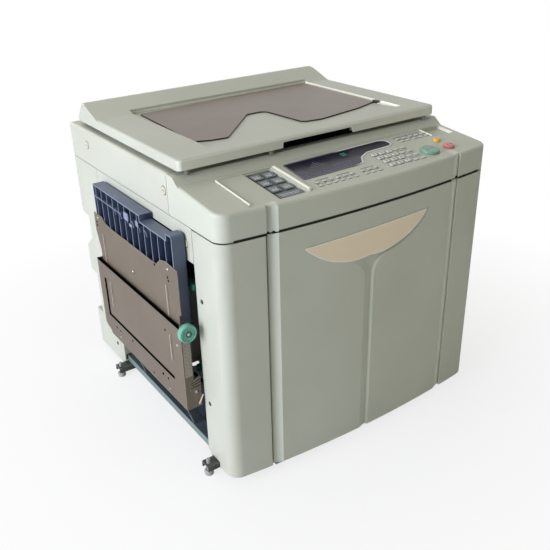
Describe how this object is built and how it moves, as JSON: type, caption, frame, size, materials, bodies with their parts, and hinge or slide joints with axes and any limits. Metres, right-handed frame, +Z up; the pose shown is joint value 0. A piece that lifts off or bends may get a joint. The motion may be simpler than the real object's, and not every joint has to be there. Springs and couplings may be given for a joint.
{
  "type": "digital duplicator",
  "caption": "Floor-standing office duplicator with a hinged original cover, hinged front door, sloped control panel and two fold-up paper trays.",
  "frame": {"origin": "on the floor under the middle of the machine", "axes": "+X to the operator's right, +Y to the back, +Z up"},
  "size_m": [0.7509, 0.671, 0.6488],
  "materials": {
    "shell": "satin",
    "steel_parts": "satin",
    "teal_pan": "satin",
    "dark_channel": "satin",
    "foot_rubber": "matt",
    "roller_rubber": "matt",
    "drum_mesh": "satin",
    "carrier_plastic": "satin",
    "black_plastic": "satin",
    "clear_glass": "polished",
    "display_lens": "gloss",
    "white_keys": "satin",
    "start_green": "gloss",
    "stop_red": "gloss",
    "reset_yellow": "gloss",
    "lid_plastic": "satin",
    "nameplate_face": "satin",
    "smoked_sheet": "gloss",
    "pad_foam": "matt",
    "tray_brown": "satin",
    "deck_blue": "satin",
    "dial_green": "satin",
    "guide_grey": "satin",
    "receiver_grey": "satin"
  },
  "bodies": {
    "machine": {"base_pan": "teal_pan", "foot_channels": "dark_channel", "rear_frame_plate": "steel_parts", "front_frame_plate": "steel_parts", "drum_carrier": "carrier_plastic", "column_cover": "shell", "left_side_cover": "shell", "back_cover": "shell", "power_inlet": "black_plastic", "right_side_cover": "shell", "scanner_housing": "shell", "exposure_glass": "clear_glass", "scan_rails": "steel_parts", "control_panel": "shell", "display_window": "display_lens", "soft_keys": "white_keys", "door_hinge": "steel_parts", "inner_panel": "shell", "cover_hinges": "steel_parts", "deck_bumpers": "roller_rubber", "screw_caps": "shell", "tray_hinges": "steel_parts"},
    "foot_front_left": {"foot_front_left": "foot_rubber"},
    "foot_front_right": {"foot_front_right": "foot_rubber"},
    "foot_rear_left": {"foot_rear_left": "foot_rubber"},
    "foot_rear_right": {"foot_rear_right": "foot_rubber"},
    "print_drum": {"print_drum": "drum_mesh"},
    "pressure_roller": {"pressure_roller": "roller_rubber"},
    "pickup_roller": {"pickup_roller": "roller_rubber"},
    "scan_carriage": {"scan_carriage": "black_plastic"},
    "power_switch": {"power_switch": "black_plastic"},
    "front_door": {"front_door": "shell", "nameplate": "nameplate_face"},
    "original_cover": {"original_cover": "shell", "cover_glazing": "smoked_sheet", "platen_pad": "pad_foam"},
    "feed_tray": {"feed_tray_frame": "tray_brown"},
    "feed_deck": {"feed_tray_deck": "deck_blue", "feed_tray_deck_plate": "tray_brown"},
    "position_dial": {"position_dial": "dial_green"},
    "feed_guide_front": {"feed_guide_front": "guide_grey"},
    "feed_guide_rear": {"feed_guide_rear": "guide_grey"},
    "receiving_tray": {"receiving_tray": "receiver_grey"},
    "subpanel_lid": {"subpanel_lid": "lid_plastic"},
    "start_button": {"start_button": "start_green"},
    "stop_button": {"stop_button": "stop_red"},
    "reset_button": {"reset_button": "reset_yellow"},
    "key_1": {"key_1": "white_keys"},
    "key_2": {"key_2": "white_keys"},
    "key_3": {"key_3": "white_keys"},
    "key_4": {"key_4": "white_keys"},
    "key_5": {"key_5": "white_keys"},
    "key_6": {"key_6": "white_keys"},
    "key_7": {"key_7": "white_keys"},
    "key_8": {"key_8": "white_keys"},
    "key_9": {"key_9": "white_keys"},
    "key_clear": {"key_clear": "white_keys"},
    "key_0": {"key_0": "white_keys"},
    "key_times": {"key_times": "white_keys"}
  },
  "joints": [
    {"name": "foot_front_left_turn", "type": "hinge", "parent": "machine", "child": "foot_front_left", "pos_m": [-0.34, -0.2515, 0.02], "axis": [0, 0, 1], "continuous": true},
    {"name": "foot_front_right_turn", "type": "hinge", "parent": "machine", "child": "foot_front_right", "pos_m": [0.34, -0.2515, 0.02], "axis": [0, 0, 1], "continuous": true},
    {"name": "foot_rear_left_turn", "type": "hinge", "parent": "machine", "child": "foot_rear_left", "pos_m": [-0.34, 0.176, 0.02], "axis": [0, 0, 1], "continuous": true},
    {"name": "foot_rear_right_turn", "type": "hinge", "parent": "machine", "child": "foot_rear_right", "pos_m": [0.34, 0.176, 0.02], "axis": [0, 0, 1], "continuous": true},
    {"name": "drum_turn", "type": "hinge", "parent": "machine", "child": "print_drum", "pos_m": [0.03, 0, 0.33], "axis": [0, 1, 0], "continuous": true},
    {"name": "pressure_roller_turn", "type": "hinge", "parent": "machine", "child": "pressure_roller", "pos_m": [0.03, 0, 0.1964], "axis": [0, 1, 0], "continuous": true},
    {"name": "pickup_roller_turn", "type": "hinge", "parent": "machine", "child": "pickup_roller", "pos_m": [-0.207, 0, 0.418], "axis": [0, 1, 0], "continuous": true},
    {"name": "carriage_slide", "type": "slide", "parent": "machine", "child": "scan_carriage", "axis": [1, 0, 0], "range_m": [0, 0.42]},
    {"name": "power_switch_rock", "type": "hinge", "parent": "machine", "child": "power_switch", "pos_m": [0.314, -0.203, 0.09], "axis": [0, 1, 0], "range_deg": [0, 8]},
    {"name": "door_swing", "type": "hinge", "parent": "machine", "child": "front_door", "pos_m": [-0.2095, -0.31384, 0.27], "axis": [0, 0, -1], "range_deg": [0, 90]},
    {"name": "cover_lift", "type": "hinge", "parent": "machine", "child": "original_cover", "pos_m": [0, 0.292, 0.609], "axis": [-1, 0, 0], "range_deg": [0, 65]},
    {"name": "feed_tray_fold", "type": "hinge", "parent": "machine", "child": "feed_tray", "pos_m": [-0.332, 0, 0.134], "axis": [0, -1, 0], "range_deg": [0, 90]},
    {"name": "feed_deck_slide", "type": "slide", "parent": "feed_tray", "child": "feed_deck", "axis": [0, 1, 0], "range_m": [-0.01, 0.01]},
    {"name": "dial_turn", "type": "hinge", "parent": "feed_tray", "child": "position_dial", "pos_m": [-0.353, -0.235, 0.3256], "axis": [0, 1, 0], "range_deg": [-361, 361]},
    {"name": "guide_front_slide", "type": "slide", "parent": "feed_deck", "child": "feed_guide_front", "axis": [0, 1, 0], "range_m": [0, 0.1]},
    {"name": "guide_rear_slide", "type": "slide", "parent": "feed_deck", "child": "feed_guide_rear", "axis": [0, -1, 0], "range_m": [0, 0.1]},
    {"name": "receiving_tray_fold", "type": "hinge", "parent": "machine", "child": "receiving_tray", "pos_m": [0.336, 0, 0.099], "axis": [0, 1, 0], "range_deg": [0, 90]},
    {"name": "lid_slide", "type": "slide", "parent": "machine", "child": "subpanel_lid", "axis": [1, 0, 0], "range_m": [0, 0.06]},
    {"name": "start_button_press", "type": "slide", "parent": "machine", "child": "start_button", "axis": [0, 0.108, -0.9942], "range_m": [0, 0.003], "stiffness_N_per_m": 400},
    {"name": "stop_button_press", "type": "slide", "parent": "machine", "child": "stop_button", "axis": [0, 0.108, -0.9942], "range_m": [0, 0.003], "stiffness_N_per_m": 400},
    {"name": "reset_button_press", "type": "slide", "parent": "machine", "child": "reset_button", "axis": [0, 0.108, -0.9942], "range_m": [0, 0.003], "stiffness_N_per_m": 400},
    {"name": "key_1_press", "type": "slide", "parent": "machine", "child": "key_1", "axis": [0, 0.108, -0.9942], "range_m": [0, 0.002], "stiffness_N_per_m": 300},
    {"name": "key_2_press", "type": "slide", "parent": "machine", "child": "key_2", "axis": [0, 0.108, -0.9942], "range_m": [0, 0.002], "stiffness_N_per_m": 300},
    {"name": "key_3_press", "type": "slide", "parent": "machine", "child": "key_3", "axis": [0, 0.108, -0.9942], "range_m": [0, 0.002], "stiffness_N_per_m": 300},
    {"name": "key_4_press", "type": "slide", "parent": "machine", "child": "key_4", "axis": [0, 0.108, -0.9942], "range_m": [0, 0.002], "stiffness_N_per_m": 300},
    {"name": "key_5_press", "type": "slide", "parent": "machine", "child": "key_5", "axis": [0, 0.108, -0.9942], "range_m": [0, 0.002], "stiffness_N_per_m": 300},
    {"name": "key_6_press", "type": "slide", "parent": "machine", "child": "key_6", "axis": [0, 0.108, -0.9942], "range_m": [0, 0.002], "stiffness_N_per_m": 300},
    {"name": "key_7_press", "type": "slide", "parent": "machine", "child": "key_7", "axis": [0, 0.108, -0.9942], "range_m": [0, 0.002], "stiffness_N_per_m": 300},
    {"name": "key_8_press", "type": "slide", "parent": "machine", "child": "key_8", "axis": [0, 0.108, -0.9942], "range_m": [0, 0.002], "stiffness_N_per_m": 300},
    {"name": "key_9_press", "type": "slide", "parent": "machine", "child": "key_9", "axis": [0, 0.108, -0.9942], "range_m": [0, 0.002], "stiffness_N_per_m": 300},
    {"name": "key_clear_press", "type": "slide", "parent": "machine", "child": "key_clear", "axis": [0, 0.108, -0.9942], "range_m": [0, 0.002], "stiffness_N_per_m": 300},
    {"name": "key_0_press", "type": "slide", "parent": "machine", "child": "key_0", "axis": [0, 0.108, -0.9942], "range_m": [0, 0.002], "stiffness_N_per_m": 300},
    {"name": "key_times_press", "type": "slide", "parent": "machine", "child": "key_times", "axis": [0, 0.108, -0.9942], "range_m": [0, 0.002], "stiffness_N_per_m": 300}
  ],
  "couplings": [
    {"joint": "pressure_roller_turn", "follows": "drum_turn", "ratio": -3.75},
    {"joint": "dial_turn", "follows": "feed_deck_slide", "rad_per_m": 628.3},
    {"joint": "guide_rear_slide", "follows": "guide_front_slide", "ratio": 1}
  ]
}
